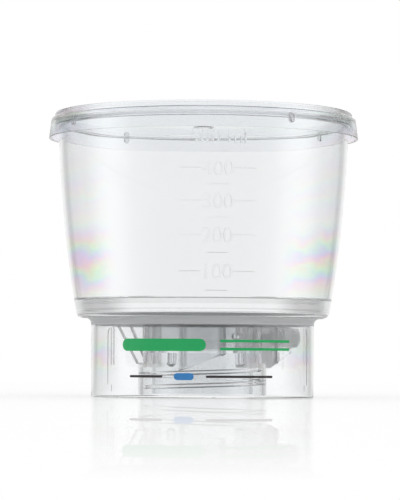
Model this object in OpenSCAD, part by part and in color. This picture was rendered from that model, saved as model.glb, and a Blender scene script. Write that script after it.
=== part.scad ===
// Vacuum filtration unit that screws onto a wide-neck bottle: a clear funnel with a
// lifting lid, welded to a base with a threaded collar, a drain and a vacuum port.
// Millimetres, +Z up. The origin is the middle of the base's foot, and the graduated
// front of the funnel faces -Y. Turns are degrees from the front, growing towards +X.

/* [Skirt and plate of the base] */
// Outer radius of the skirt at its foot
skirt_r = 42.7; // [38:0.1:44]
// How much the skirt widens from its foot to the plate (mould draft)
skirt_draft = 0.2; // [0:0.05:0.6]
// Wall of the skirt
skirt_wall = 1.3; // [1:0.1:2]
// Height of the plate's underside
plate_z = 27.4; // [24:0.1:32]
// Thickness of the plate under the drain floor, at the middle
plate_t = 1.7; // [1.2:0.1:2.5]
// Rise of the drain floor from the middle to its edge
floor_rise = 1.1; // [0.4:0.1:1.5]
// Height of the seat for the membrane above the plate's underside
seat_rise = 4.6; // [4:0.1:6]
// Thickness of the flange that carries the funnel
flange_t = 1.9; // [1.5:0.1:3]
// Radius of the fillet between the skirt and the flange
flare_r = 2.4; // [1:0.1:3]

/* [Grid under the membrane] */
// How far the well's edge lies inside the ring that clamps the membrane
well_lip = 0.2; // [0.1:0.05:1]
// How far the well's wall leans in from the seat down to the drain floor
well_lean = 4.5; // [0:0.1:6]
// Radial distance from one support ring to the next
ring_pitch = 4.5; // [3:0.5:6]
// Width of a support ring
ring_w = 1.2; // [0.8:0.1:1.6]
// Number of drain channels across the rings
channels = 6; // [4:1:8]
// Width of a drain channel
channel_w = 2.4; // [1.5:0.1:3]

/* [Neck and collar] */
// Outer radius of the neck under the plate
neck_r = 22.9; // [22:0.1:24]
// Wall of the neck
neck_wall = 1.6; // [1.2:0.1:2]
// Bore radius of the collar, which carries the thread for a 45 mm bottle neck
collar_bore_r = 22.9; // [22.5:0.1:24]
// Wall of the collar
collar_wall = 1.7; // [1.2:0.1:2.4]
// Height of the collar's shoulder
collar_z = 12.9; // [10:0.1:15]
// Height of the collar's lower rim above the foot
collar_foot = 0.8; // [0.2:0.1:3]
// Outer radius of the inner sleeve that enters the bottle's mouth
sleeve_r = 19.5; // [17:0.1:20]
// Wall of the inner sleeve
sleeve_wall = 1.3; // [1:0.1:2]
// Height of the sleeve's lower rim above the foot
sleeve_foot = 1.2; // [0.5:0.1:6]
// Height of the sealing land's underside, which the bottle's rim meets
land_z = 16.7; // [14.5:0.1:18]
// Thickness of the sealing land
land_t = 1.6; // [1:0.1:2]

/* [Drain] */
// Outer radius of the drain spout
spout_r = 9.1; // [6:0.1:12]
// Wall of the drain spout
spout_wall = 1.5; // [1:0.1:2]
// Height of the spout's tip above the foot
spout_z = 9.8; // [6:0.1:14]
// Slant of the spout's tip
spout_slant = 20; // [0:1:35]
// Radius of a drip nub on the sleeve
nub_r = 1.5; // [1:0.1:2]
// Turn of the two drip nubs, either side of the front
nub_turn = 45; // [20:1:70]
// How deep the side of a drip nub is sunk in the sleeve's wall
nub_sink = 0.5; // [0.3:0.1:1]
// Height of a drip nub's tip above the foot
nub_z = 11.4; // [8:0.1:14]

/* [Stiffeners] */
// Turn of the middle between the two stiffening ribs under the plate
rib_turn = -111; // [-140:1:-100]
// Angle between the two stiffening ribs
rib_split = 30; // [20:1:40]
// Reach of a stiffening rib from the axis, under the plate
rib_reach = 33.1; // [28:0.1:38]
// Reach of a stiffening rib beyond the collar, at its foot
rib_toe = 0.8; // [0.4:0.1:2]
// How far a stiffening rib runs down past the collar's shoulder
rib_drop = 0.5; // [0.2:0.1:2]
// Thickness of a stiffening rib
rib_t = 1.2; // [0.8:0.1:2]

/* [Vacuum port] */
// Turn of the port
port_turn = 129.5; // [100:0.5:170]
// Height of the port's axis above the foot
port_z = 23.3; // [22:0.1:24]
// Outer radius of the port's tube, which a hose slips over
port_r = 4; // [3.6:0.1:4.2]
// Height of the shoulder that stops the hose
port_step = 0.4; // [0.2:0.1:0.6]
// Bore radius of the port's tube
port_bore_r = 2.7; // [2:0.1:3]
// Reach of the port's mouth beyond the skirt
port_out = 13.5; // [9:0.1:15]
// Distance from the skirt's outside to the floor of the port's bore
port_floor = 1.5; // [1:0.1:3]
// Radius of the passage from the port's bore through the web to the neck
passage_r = 1.2; // [0.8:0.1:1.5]
// Length of the tube left free for a hose
port_free = 5; // [4:0.1:10]
// Thickness of the web that carries the port
web_t = 3.6; // [3.2:0.1:5]
// Height of the web's foot
web_z = 11; // [8:0.1:14]
// How far the web's foot stops short of the skirt's outside
web_inset = 6.2; // [3:0.1:8]
// How far the web reaches below the port's shoulder
web_drop = 1.7; // [0.2:0.1:3]
// Length of the filter plug in the port
plug_l = 3; // [2:0.5:6]
// How far the plug sits inside the port's mouth
plug_inset = 0.8; // [0.3:0.1:2]

/* [Panels on the skirt] */
// Depth of the panels
panel_depth = 0.15; // [0.1:0.05:0.3]
// Corner radius of the panels
panel_corner = 2.5; // [1:0.1:4]
// Half the angle that the front panel spans
front_half = 62; // [40:1:70]
// Height of the front panel's lower edge
front_low = 2.2; // [1:0.1:5]
// Height of the front panel's upper edge
front_high = 26; // [20:0.1:27]
// Half the angle that the back panel spans
back_half = 74; // [40:1:80]
// Height of the back panel's lower edge
back_low = 2.2; // [1:0.1:5]
// Height of the back panel's upper edge
back_high = 11.2; // [8:0.1:20]

/* [Funnel] */
// Width of the seat outside the membrane, under the funnel's foot
foot_seat = 2.05; // [1.5:0.05:4]
// Outer radius of the funnel's wall at its rim
funnel_top_r = 55.95; // [52:0.05:60]
// How far the wall bows out between foot and rim
funnel_bow = 1.3; // [0:0.1:2]
// Wall of the funnel
funnel_wall = 1.7; // [1.2:0.1:2]
// Height of the funnel, from its foot to its rim
funnel_h = 74.9; // [50:0.1:110]
// How far the funnel's foot hangs below the membrane's seat
foot_hang = 1.8; // [1:0.1:1.9]
// Rounding of the funnel's lower corner
foot_round = 1.5; // [0.5:0.1:2]
// Reach of the rim's flange beyond the wall
rim_reach = 1.35; // [0.8:0.05:2]
// Thickness of the rim's flange
rim_t = 1.7; // [1.2:0.1:2.5]
// Bevel of the rim's edges
rim_edge = 0.4; // [0.2:0.1:0.6]
// Height of the ledge's upper edge above the membrane's seat
ledge_h = 4.9; // [3:0.1:6]
// Height of the slanted ledge
ledge_drop = 1.8; // [0.8:0.1:2]
// Reach of the ledge inside the funnel's foot
ledge_in = 0.1; // [0:0.1:1]
// Width of the ring that clamps the membrane
clamp_w = 1.5; // [1:0.1:2]
// Height of the ring that clamps the membrane
clamp_t = 1; // [0.6:0.1:2]

/* [Graduations] */
// Volume between two marks, in millilitres
grad_step = 50; // [25:25:100]
// Largest marked volume, in millilitres
grad_max = 500; // [200:50:500]
// Share of the section inside the wall that the scale counts, as the marks stand a little high
grad_share = 0.955; // [0.9:0.005:1]
// Height of a mark's line
grad_line = 0.5; // [0.3:0.1:0.8]
// How far the marks stand out from the wall
grad_relief = 0.25; // [0.15:0.05:0.5]
// How deep a mark is rooted in the wall
grad_root = 0.5; // [0.2:0.1:0.8]
// Length of a mark's line
grad_len = 8; // [5:0.1:12]
// Space between the two lines of a numbered mark
grad_space = 12; // [9:0.1:20]
// Space between the two lines of the largest mark
grad_space_top = 20; // [15:0.1:26]

/* [Membrane] */
// Radius of the membrane
membrane_r = 44.7; // [42:0.1:45]
// Thickness of the membrane
membrane_t = 0.25; // [0.15:0.05:0.5]

/* [Lid] */
// Wall of the lid
lid_wall = 1.2; // [1:0.1:1.6]
// Depth of the lid's skirt below the rim it rests on
lid_skirt = 6.1; // [4:0.1:10]
// How much the lid's skirt flares out towards its edge
lid_flare = 0.9; // [0:0.1:1.5]
// Thickness of the lid over the rim, at its outer shoulder
lid_shoulder = 1.5; // [1.2:0.1:2.5]
// Rounding of the lid's outer shoulder
lid_edge_r = 0.6; // [0.3:0.1:1]
// Height of the raised ring above the rim
lid_ring_h = 3.8; // [3:0.1:6]
// Width of the hollow inside the raised ring
lid_ring_w = 2.4; // [2:0.1:4]
// Rounding of the raised ring's upper edges
lid_ring_round = 0.8; // [0.4:0.1:1]
// Depth of the lid's centre panel below the rim
lid_sink = 1.3; // [0.5:0.1:3]
// Radius of the gate mark under the lid's middle
gate_r = 4; // [2:0.1:6]
// Width of the gate mark's slanted edge
gate_edge = 1; // [0.5:0.1:1.5]
// Depth of the gate mark
gate_t = 0.7; // [0.3:0.1:1]
// Number of guide ribs inside the lid's skirt
guides = 4; // [3:1:8]
// Turn of the first guide rib
guide_turn = 28; // [0:1:60]
// Width of a guide rib
guide_w = 2.2; // [1.5:0.1:3]
// Length of a guide rib
guide_l = 3.8; // [3:0.1:8]

/* [Clearances] */
// Radial clearance between the lid and the funnel's rim
lid_gap = 0.25; // [0.1:0.05:0.5]
// Radial clearance between a guide rib and the funnel's rim
guide_gap = 0.1; // [0.05:0.05:0.1]
// Radial clearance between the funnel's foot and the base's flange
foot_gap = 0.1; // [0.05:0.05:0.3]
// Radial clearance round the plug
plug_gap = 0.1; // [0.05:0.05:0.3]
// Clearance over the membrane, under the funnel's clamping ring
membrane_gap = 0.05; // [0:0.05:0.2]
// Radial clearance round the membrane
pocket_gap = 0.15; // [0.05:0.05:0.3]

/* [Hidden] */
$fn = 96;
// Small overlap that fuses neighbouring shapes
bite = 0.01;
// How far a cutting shape runs past what it cuts
over = 1;

skirt_top_r = skirt_r + skirt_draft;
skirt_in_r = skirt_r - skirt_wall;
seat_z = plate_z + seat_rise;
floor_z = plate_z + plate_t;
funnel_z = seat_z - foot_hang;
rim_z = funnel_z + funnel_h;
foot_in_r = membrane_r + foot_seat;
funnel_foot_r = foot_in_r + funnel_wall;
flange_r = foot_in_r - foot_gap;
well_r = membrane_r - clamp_w - well_lip;
well_foot_r = well_r - well_lean;
collar_r = collar_bore_r + collar_wall;
neck_in_r = neck_r - neck_wall;
sleeve_in_r = sleeve_r - sleeve_wall;
spout_in_r = spout_r - spout_wall;
port_reach = skirt_r + port_out;
nub_at = sleeve_in_r - nub_r + nub_sink;
rim_r = funnel_top_r + rim_reach;
mouth_r = funnel_top_r - funnel_wall;
lid_in_r = rim_r + lid_gap;
lid_out_r = lid_in_r + lid_wall;
lid_edge_z = rim_z - lid_skirt;
lid_plug_r = mouth_r - 2 * lid_gap;
panel_z = rim_z - lid_sink;
lid_top_z = rim_z + lid_ring_h;

// Points of an arc from angle a to angle b round (x, y)
function arc(x, y, r, a, b, n = 8) =
    [for (i = [0:n]) let (t = a + (b - a) * i / n) [x + r * cos(t), y + r * sin(t)]];

// Outer radius of the funnel's wall at height z
function wall_r(z) =
    let (t = (z - funnel_z) / funnel_h)
    funnel_foot_r + (funnel_top_r - funnel_foot_r) * t + 4 * funnel_bow * t * (1 - t);

// Height of the mark for a volume in millilitres
function level_z(ml, z = seat_z, held = 0, slice = 0.1) =
    held >= ml ? z :
    level_z(ml, z + slice, held + grad_share * PI * pow(wall_r(z) - funnel_wall, 2) * slice / 1000);

// Puts a shape made along +X at a turn from the front
module at_turn(turn) {
    rotate([0, 0, turn - 90]) children();
}

// A slab standing in the plane through the axis at a turn, with a profile of (radius, height)
module radial_slab(turn, thickness, points) {
    at_turn(turn)
        translate([0, thickness / 2, 0])
            rotate([90, 0, 0])
                linear_extrude(thickness) polygon(points);
}

// A band of the ring between two radii that spans an angle about a turn
module band(turn, half, r_low, r_high, z_low, z_high) {
    at_turn(turn)
        rotate([0, 0, -half])
            rotate_extrude(angle = 2 * half)
                translate([r_low, z_low]) square([r_high - r_low, z_high - z_low]);
}

// Cutting shape of a panel with round corners on the skirt's outer face
module panel_cut(turn, half, z_low, z_high) {
    r_low = skirt_r - panel_depth;
    r_high = skirt_top_r + over;
    inset = panel_corner / skirt_r * 180 / PI;
    band(turn, half, r_low, r_high, z_low + panel_corner, z_high - panel_corner);
    band(turn, half - inset, r_low, r_high, z_low, z_high);
    intersection() {
        band(turn, half, r_low, r_high, z_low, z_high);
        for (side = [-1, 1], z = [z_low + panel_corner, z_high - panel_corner])
            at_turn(turn + side * (half - inset))
                translate([r_low - over, 0, z])
                    rotate([0, 90, 0]) cylinder(r = panel_corner, h = r_high - r_low + 2 * over);
    }
}

// Skirt, flare, flange and plate as one revolved section
module shell_profile() {
    polygon(concat(
        [[skirt_in_r, 0], [skirt_r, 0]],
        arc(skirt_top_r + flare_r, seat_z - flange_t - flare_r, flare_r, 180, 90),
        [
            [flange_r, seat_z - flange_t],
            [flange_r, seat_z],
            [well_r, seat_z],
            [well_foot_r, floor_z + floor_rise],
            [spout_in_r, floor_z],
            [spout_in_r, plate_z],
            [skirt_in_r, plate_z]
        ]
    ));
}

// Neck, collar and the shoulder between them
module neck_profile() {
    polygon([
        [neck_in_r, plate_z + bite],
        [neck_in_r, collar_z - collar_wall],
        [collar_bore_r, collar_z - collar_wall],
        [collar_bore_r, collar_foot],
        [collar_r, collar_foot],
        [collar_r, collar_z],
        [neck_r, collar_z],
        [neck_r, plate_z + bite]
    ]);
}

// Sleeve that enters the bottle's mouth, joined to the neck by the sealing land
module sleeve_profile() {
    translate([sleeve_in_r, sleeve_foot])
        square([sleeve_wall, plate_z + bite - sleeve_foot]);
    translate([sleeve_in_r, land_z])
        square([neck_in_r + bite - sleeve_in_r, land_t]);
}

// Rings that carry the membrane, cut by the drain channels
module support_grid() {
    difference() {
        for (r = [spout_r : ring_pitch : well_foot_r - ring_pitch / 2])
            rotate_extrude()
                translate([r - ring_w / 2, floor_z - bite])
                    square([ring_w, seat_z - floor_z + bite]);
        for (i = [0 : channels - 1])
            rotate([0, 0, i * 360 / channels])
                translate([0, -channel_w / 2, floor_z - over])
                    cube([well_r, channel_w, seat_rise + over]);
    }
}

// Drain spout with a slanted tip
module spout() {
    difference() {
        translate([0, 0, spout_z])
            cylinder(r = spout_r, h = plate_z + bite - spout_z);
        translate([0, 0, spout_z - over])
            cylinder(r = spout_in_r, h = plate_z + 2 * over - spout_z);
        translate([-spout_r, 0, spout_z])
            rotate([0, -spout_slant, 0])
                translate([-spout_r, -2 * spout_r, -3 * spout_r])
                    cube([6 * spout_r, 4 * spout_r, 3 * spout_r]);
    }
}

// Two drip nubs with round tips on the inside of the sleeve
module nubs() {
    for (side = [-1, 1])
        at_turn(side * nub_turn)
            translate([nub_at, 0, nub_z + nub_r]) {
                sphere(r = nub_r);
                cylinder(r = nub_r, h = land_z - nub_z - nub_r);
            }
}

// Stiffening ribs between the plate and the neck
module stiffeners() {
    for (side = [-1, 1])
        radial_slab(rib_turn + side * rib_split / 2, rib_t, [
            [neck_r - neck_wall / 2, plate_z + bite],
            [rib_reach, plate_z + bite],
            [collar_r + rib_toe, collar_z - rib_drop],
            [collar_r - collar_wall / 2, collar_z - rib_drop],
            [neck_r - neck_wall / 2, collar_z - rib_drop]
        ]);
}

// Vacuum port: a stepped tube on the skirt, and the web that carries it from the neck
module port_body() {
    root_r = port_r + port_step;
    root_at = skirt_in_r + skirt_wall / 2;
    step_at = port_reach - port_free;
    at_turn(port_turn)
        translate([root_at, 0, port_z])
            rotate([0, 90, 0]) {
                cylinder(r = root_r, h = step_at - root_at);
                cylinder(r = port_r, h = port_reach - root_at);
            }
    radial_slab(port_turn, web_t, [
        [neck_r - neck_wall / 2, plate_z + bite],
        [root_at, plate_z + bite],
        [root_at, port_z],
        [step_at, port_z],
        [step_at, port_z - root_r - web_drop],
        [skirt_r - web_inset, web_z],
        [collar_r - collar_wall / 2, web_z],
        [collar_r - collar_wall / 2, collar_z - collar_wall / 2],
        [neck_r - neck_wall / 2, collar_z - collar_wall / 2]
    ]);
}

// Cutting shape of the port's bore and of the passage to the space inside the sleeve
module port_bore() {
    at_turn(port_turn)
        translate([0, 0, port_z])
            rotate([0, 90, 0]) {
                translate([0, 0, skirt_r + port_floor])
                    cylinder(r = port_bore_r, h = port_out - port_floor + over);
                translate([0, 0, sleeve_in_r - over])
                    cylinder(r = passage_r, h = skirt_r + port_floor + 2 * over - sleeve_in_r);
            }
}

module base() {
    color([0.86, 0.9, 0.92, 0.5])
        difference() {
            union() {
                rotate_extrude() shell_profile();
                rotate_extrude() neck_profile();
                rotate_extrude() sleeve_profile();
                support_grid();
                spout();
                nubs();
                stiffeners();
                port_body();
            }
            port_bore();
            panel_cut(0, front_half, front_low, front_high);
            panel_cut(180, back_half, back_low, back_high);
        }
}

// Fibre plug that keeps the vacuum line dry
module port_plug() {
    color([0.95, 0.95, 0.93])
        at_turn(port_turn)
            translate([port_reach - plug_inset - plug_l, 0, port_z])
                rotate([0, 90, 0]) cylinder(r = port_bore_r - plug_gap, h = plug_l);
}

// Filter membrane, lying on the grid and the seat
module membrane() {
    color("white")
        translate([0, 0, seat_z]) cylinder(r = membrane_r, h = membrane_t);
}

// Section of the funnel: foot, bowed wall, rim, ledge and clamping ring
module funnel_profile() {
    steps = 14;
    clamp_z = seat_z + membrane_t + membrane_gap;
    ledge_z = seat_z + ledge_h;
    outer = [for (i = [0:steps])
        let (z = funnel_z + foot_round + (funnel_h - foot_round - rim_t) * i / steps)
        [wall_r(z), z]];
    inner = [for (i = [0:steps])
        let (z = rim_z - (rim_z - ledge_z) * i / steps)
        [wall_r(z) - funnel_wall, z]];
    polygon(concat(
        [[foot_in_r, funnel_z]],
        arc(funnel_foot_r - foot_round, funnel_z + foot_round, foot_round, -90, -5),
        outer,
        [
            [rim_r - rim_edge, rim_z - rim_t],
            [rim_r, rim_z - rim_t + rim_edge],
            [rim_r, rim_z - rim_edge],
            [rim_r - rim_edge, rim_z]
        ],
        inner,
        [
            [foot_in_r - ledge_in, ledge_z - ledge_drop],
            [foot_in_r - ledge_in, clamp_z + clamp_t],
            [membrane_r - clamp_w, clamp_z + clamp_t],
            [membrane_r - clamp_w, clamp_z],
            [membrane_r + pocket_gap, clamp_z],
            [membrane_r + pocket_gap, seat_z],
            [foot_in_r, seat_z]
        ]
    ));
}

// One line of a graduation, following the wall
module grad_mark(z, turn, len) {
    half = len / 2 / wall_r(z) * 180 / PI;
    low = z - grad_line / 2;
    high = z + grad_line / 2;
    at_turn(turn)
        rotate([0, 0, -half])
            rotate_extrude(angle = 2 * half)
                polygon([
                    [wall_r(low) - grad_root, low],
                    [wall_r(low) + grad_relief, low],
                    [wall_r(high) + grad_relief, high],
                    [wall_r(high) - grad_root, high]
                ]);
}

// Lines of the graduated scale: one centred, or two either side of a number
module graduations() {
    for (ml = [grad_step : grad_step : grad_max]) {
        z = level_z(ml);
        space = ml == grad_max ? grad_space_top : grad_space;
        turn = (space + grad_len) / 2 / wall_r(z) * 180 / PI;
        if (ml % 100 == 0) {
            grad_mark(z, -turn, grad_len);
            grad_mark(z, turn, grad_len);
        } else {
            grad_mark(z, 0, grad_len);
        }
    }
}

module funnel() {
    color([0.9, 0.94, 0.96, 0.35]) {
        rotate_extrude() funnel_profile();
        graduations();
    }
}

// Section of the lid: skirt, step on the rim, hollow raised ring, centre panel, gate mark
module lid_profile() {
    step_r = lid_plug_r + lid_ring_w;
    ring_round_z = lid_top_z - lid_ring_round;
    polygon(concat(
        [
            [0, panel_z - gate_t],
            [gate_r - gate_edge, panel_z - gate_t],
            [gate_r, panel_z],
            [lid_plug_r, panel_z],
            [lid_plug_r, lid_top_z - lid_wall],
            [step_r, lid_top_z - lid_wall],
            [step_r, rim_z],
            [lid_in_r, rim_z],
            [lid_in_r + lid_flare, lid_edge_z],
            [lid_out_r + lid_flare, lid_edge_z]
        ],
        arc(lid_out_r - lid_edge_r, rim_z + lid_shoulder - lid_edge_r, lid_edge_r, 0, 90, 4),
        [[step_r + lid_wall, rim_z + lid_shoulder]],
        arc(step_r + lid_wall - lid_ring_round, ring_round_z, lid_ring_round, 0, 90, 4),
        arc(lid_plug_r - lid_wall + lid_ring_round, ring_round_z, lid_ring_round, 90, 180, 4),
        [
            [lid_plug_r - lid_wall, panel_z + lid_wall],
            [0, panel_z + lid_wall]
        ]
    ));
}

// Guide ribs that centre the lid's skirt on the rim
module guide_ribs() {
    guide_in_r = rim_r + guide_gap;
    guide_out_r = lid_in_r + lid_flare + lid_wall / 2;
    round_z = rim_z - guide_l + guide_w / 2;
    for (i = [0 : guides - 1])
        at_turn(guide_turn + i * 360 / guides)
            intersection() {
                rotate_extrude()
                    translate([guide_in_r, lid_edge_z])
                        square([guide_out_r - guide_in_r, lid_skirt + bite]);
                union() {
                    translate([guide_in_r - over, -guide_w / 2, round_z])
                        cube([guide_out_r - guide_in_r + over, guide_w, rim_z + bite - round_z]);
                    translate([guide_in_r - over, 0, round_z])
                        rotate([0, 90, 0])
                            cylinder(d = guide_w, h = guide_out_r - guide_in_r + over);
                }
            }
}

module lid() {
    color([0.88, 0.92, 0.95, 0.4]) {
        rotate_extrude() lid_profile();
        guide_ribs();
    }
}

base();
port_plug();
membrane();
funnel();
lid();
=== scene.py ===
import math

import bmesh
import bpy
import numpy as np
from mathutils import Matrix, Vector
from mathutils.bvhtree import BVHTree
from mathutils.interpolate import poly_3d_calc


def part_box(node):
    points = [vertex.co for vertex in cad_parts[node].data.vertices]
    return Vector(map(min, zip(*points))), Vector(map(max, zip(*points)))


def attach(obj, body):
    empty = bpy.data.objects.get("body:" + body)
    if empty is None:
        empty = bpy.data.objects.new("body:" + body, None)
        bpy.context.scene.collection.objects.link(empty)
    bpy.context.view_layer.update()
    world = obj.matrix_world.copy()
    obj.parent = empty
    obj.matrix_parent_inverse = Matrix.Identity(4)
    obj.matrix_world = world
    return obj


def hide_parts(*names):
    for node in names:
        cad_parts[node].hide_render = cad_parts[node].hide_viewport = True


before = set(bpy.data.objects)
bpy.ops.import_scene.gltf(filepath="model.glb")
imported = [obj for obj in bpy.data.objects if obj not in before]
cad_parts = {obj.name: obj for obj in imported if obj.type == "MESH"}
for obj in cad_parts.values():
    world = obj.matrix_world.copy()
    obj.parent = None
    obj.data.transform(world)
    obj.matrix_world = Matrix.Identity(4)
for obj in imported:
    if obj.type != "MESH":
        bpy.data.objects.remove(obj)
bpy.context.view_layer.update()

MM = 0.001
ML = 1e-6


# ---------------------------------------------------------------- node helpers

class Graph:
    """A node tree being built: short calls for nodes, links and sums."""

    def __init__(self, tree):
        self.tree = tree
        tree.nodes.clear()

    def node(self, kind, inputs=None, **settings):
        made = self.tree.nodes.new(kind)
        for name, value in settings.items():
            setattr(made, name, value)
        for key, value in (inputs or {}).items():
            self.feed(made.inputs[key], value)
        return made

    def feed(self, socket, value):
        if isinstance(value, bpy.types.NodeSocket):
            self.tree.links.new(value, socket)
        else:
            socket.default_value = value

    def math(self, operation, *values, clamp=False):
        made = self.node("ShaderNodeMath", operation=operation, use_clamp=clamp)
        for socket, value in zip(made.inputs, values):
            self.feed(socket, value)
        return made.outputs[0]

    def smooth(self, value, low, high, to_low=0.0, to_high=1.0):
        made = self.node("ShaderNodeMapRange", interpolation_type="SMOOTHSTEP")
        for socket, given in zip(made.inputs, (value, low, high, to_low, to_high)):
            self.feed(socket, given)
        return made.outputs[0]


# ---------------------------------------------------------------- camera, light, floor

CAMERA_DISTANCE = 0.98
CAMERA_HEIGHT = 0.01405
CAMERA_TURN = math.radians(5.7)
CAMERA_TILT = math.radians(2.475)
CAMERA_YAW = math.radians(0.0675)
CAMERA_ROLL = math.radians(0.3)
LENS = 183.2


def make_camera():
    data = bpy.data.cameras.new("camera")
    data.lens = LENS
    data.clip_start = 0.01
    data.clip_end = 50
    camera = bpy.data.objects.new("camera", data)
    bpy.context.scene.collection.objects.link(camera)
    aim = Matrix.Rotation(CAMERA_YAW - CAMERA_TURN, 4, "Z")
    aim = aim @ Matrix.Rotation(math.pi / 2 + CAMERA_TILT, 4, "X")
    aim = aim @ Matrix.Rotation(CAMERA_ROLL, 4, "Z")
    stand = Vector((
        -CAMERA_DISTANCE * math.sin(CAMERA_TURN),
        -CAMERA_DISTANCE * math.cos(CAMERA_TURN),
        CAMERA_HEIGHT,
    ))
    camera.matrix_world = Matrix.Translation(stand) @ aim
    bpy.context.scene.camera = camera


LOBES = 8
LOBE_DIP = 0.5
LOBE_EDGES = (-0.9, 0.1)
# Steepness of the direction, from level 0 to upright 1, over which each pattern fades to its top
LOBE_FADE = (0.25, 0.6)
STUDIO_FADE = (0.3, 0.9)
STUDIO_TOP = 0.8
# What reflections see at each turn from straight behind the object, in degrees
STUDIO = (
    (0, 1.0), (18, 0.9), (35, 0.5), (70, 0.5), (86, 1.0),
    (102, 1.0), (122, 0.45), (140, 0.3), (180, 0.26),
)


def studio_level(g, point):
    """Brightness that a reflection finds in the direction or at the place given, by its turn."""
    axes = g.node("ShaderNodeSeparateXYZ", {0: point}).outputs
    turn = g.math("SUBTRACT", g.math("ARCTAN2", axes["X"], axes["Y"]), CAMERA_TURN)
    behind = g.math("DIVIDE", g.math("ARCCOSINE", g.math("COSINE", turn)), math.pi)
    ramp = g.node("ShaderNodeValToRGB", {0: behind})
    stops = ramp.color_ramp.elements
    while len(stops) < len(STUDIO):
        stops.new(0.5)
    for stop, (degrees, level) in zip(stops, STUDIO):
        stop.position = degrees / 180
        stop.color = (level, level, level, 1)
    return ramp.outputs[0], turn


def blend(g, share, low, high):
    return g.math("ADD", low, g.math("MULTIPLY", share, g.math("SUBTRACT", high, low)))


def summed(g, start, *parts):
    """The start, and to it each mask times its share."""
    total = start
    for mask, share in parts:
        total = g.math("ADD", total, g.math("MULTIPLY", mask, share))
    return total


def make_world():
    """White to the camera and to matt surfaces. Through itself, plastic shows soft lobes round the
    horizon that fade to white above, and in its reflections a studio with a white back, bright
    sides and a dim front."""
    world = bpy.data.worlds.new("studio")
    bpy.context.scene.world = world
    world.use_nodes = True
    world.cycles.sampling_method = "NONE"
    g = Graph(world.node_tree)
    direction = g.node("ShaderNodeTexCoord").outputs["Generated"]
    level, turn = studio_level(g, direction)
    wave = g.math("COSINE", g.math("MULTIPLY", turn, LOBES))
    lobes = g.smooth(wave, *LOBE_EDGES, LOBE_DIP, 1.0)
    up = g.node("ShaderNodeSeparateXYZ", {0: direction}).outputs["Z"]
    level = blend(g, g.smooth(up, *STUDIO_FADE), level, STUDIO_TOP)
    lobes = blend(g, g.smooth(up, *LOBE_FADE), lobes, 1.0)
    ray = g.node("ShaderNodeLightPath").outputs
    reflected = g.math("MINIMUM", ray["Glossy Depth"], 1.0)
    through = g.math("MAXIMUM", ray["Is Glossy Ray"], ray["Is Transmission Ray"])
    strength = blend(g, through, 1.0, blend(g, reflected, lobes, level))
    shade = g.node("ShaderNodeBackground", {"Color": (1, 1, 1, 1), "Strength": strength})
    out = g.node("ShaderNodeOutputWorld")
    g.feed(out.inputs["Surface"], shade.outputs[0])


FLOOR_HALF = 20
FLOOR_DROP = 0.1 * MM
FLOOR_GLOSS = 0.5
FLOOR_UNLIT = 0.5
FLOOR_REACH = 0.68
FLOOR_DEPTH = CAMERA_DISTANCE - FLOOR_REACH


def floor_material():
    """White with half the object's shadow, and a gloss round the object. The gloss fades evenly
    down the picture, which takes the inverse of the distance from where the camera stands."""
    material = bpy.data.materials.new("floor")
    material.use_nodes = True
    g = Graph(material.node_tree)
    ray = g.node("ShaderNodeLightPath").outputs
    ground = g.node("ShaderNodeNewGeometry").outputs["Position"]
    matt = g.node("ShaderNodeBsdfDiffuse", {"Color": (1, 1, 1, 1)}).outputs[0]
    white = g.node("ShaderNodeEmission", {"Strength": 1.0}).outputs[0]
    unlit = g.math("MULTIPLY", ray["Is Camera Ray"], FLOOR_UNLIT)
    plain = g.node("ShaderNodeMixShader", {0: unlit, 1: matt, 2: white})
    far = g.node("ShaderNodeVectorMath", {0: ground}, operation="LENGTH").outputs["Value"]
    gloss = g.node("ShaderNodeBsdfGlossy", {"Color": (1, 1, 1, 1), "Roughness": 0.0}).outputs[0]
    left = g.math("MAXIMUM", g.math("SUBTRACT", CAMERA_DISTANCE, far), FLOOR_DEPTH)
    fade = g.math("SUBTRACT", 1 / FLOOR_DEPTH, g.math("DIVIDE", 1.0, left))
    fade = g.math("DIVIDE", fade, 1 / FLOOR_DEPTH - 1 / CAMERA_DISTANCE)
    fade = g.math("MULTIPLY", fade, g.node("ShaderNodeFresnel", {"IOR": 1.5}).outputs[0])
    fade = g.math("MULTIPLY", g.math("MULTIPLY", fade, FLOOR_GLOSS), ray["Is Camera Ray"])
    seen = g.node("ShaderNodeMixShader", {0: fade, 1: plain.outputs[0], 2: gloss})
    level, _ = studio_level(g, ground)
    reflected = g.math("MINIMUM", ray["Glossy Depth"], 1.0)
    lit = g.node("ShaderNodeEmission", {"Strength": blend(g, reflected, 1.0, level)}).outputs[0]
    through = g.math("MAXIMUM", ray["Is Glossy Ray"], ray["Is Transmission Ray"])
    mix = g.node("ShaderNodeMixShader", {0: through, 1: seen.outputs[0], 2: lit})
    g.feed(g.node("ShaderNodeOutputMaterial").inputs["Surface"], mix.outputs[0])
    return material


def make_floor():
    mesh = bpy.data.meshes.new("floor")
    shape = bmesh.new()
    bmesh.ops.create_grid(shape, x_segments=1, y_segments=1, size=FLOOR_HALF)
    shape.to_mesh(mesh)
    shape.free()
    floor = bpy.data.objects.new("floor", mesh)
    bpy.context.scene.collection.objects.link(floor)
    floor.location.z = -FLOOR_DROP
    mesh.materials.append(floor_material())


# ---------------------------------------------------------------- materials

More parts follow.
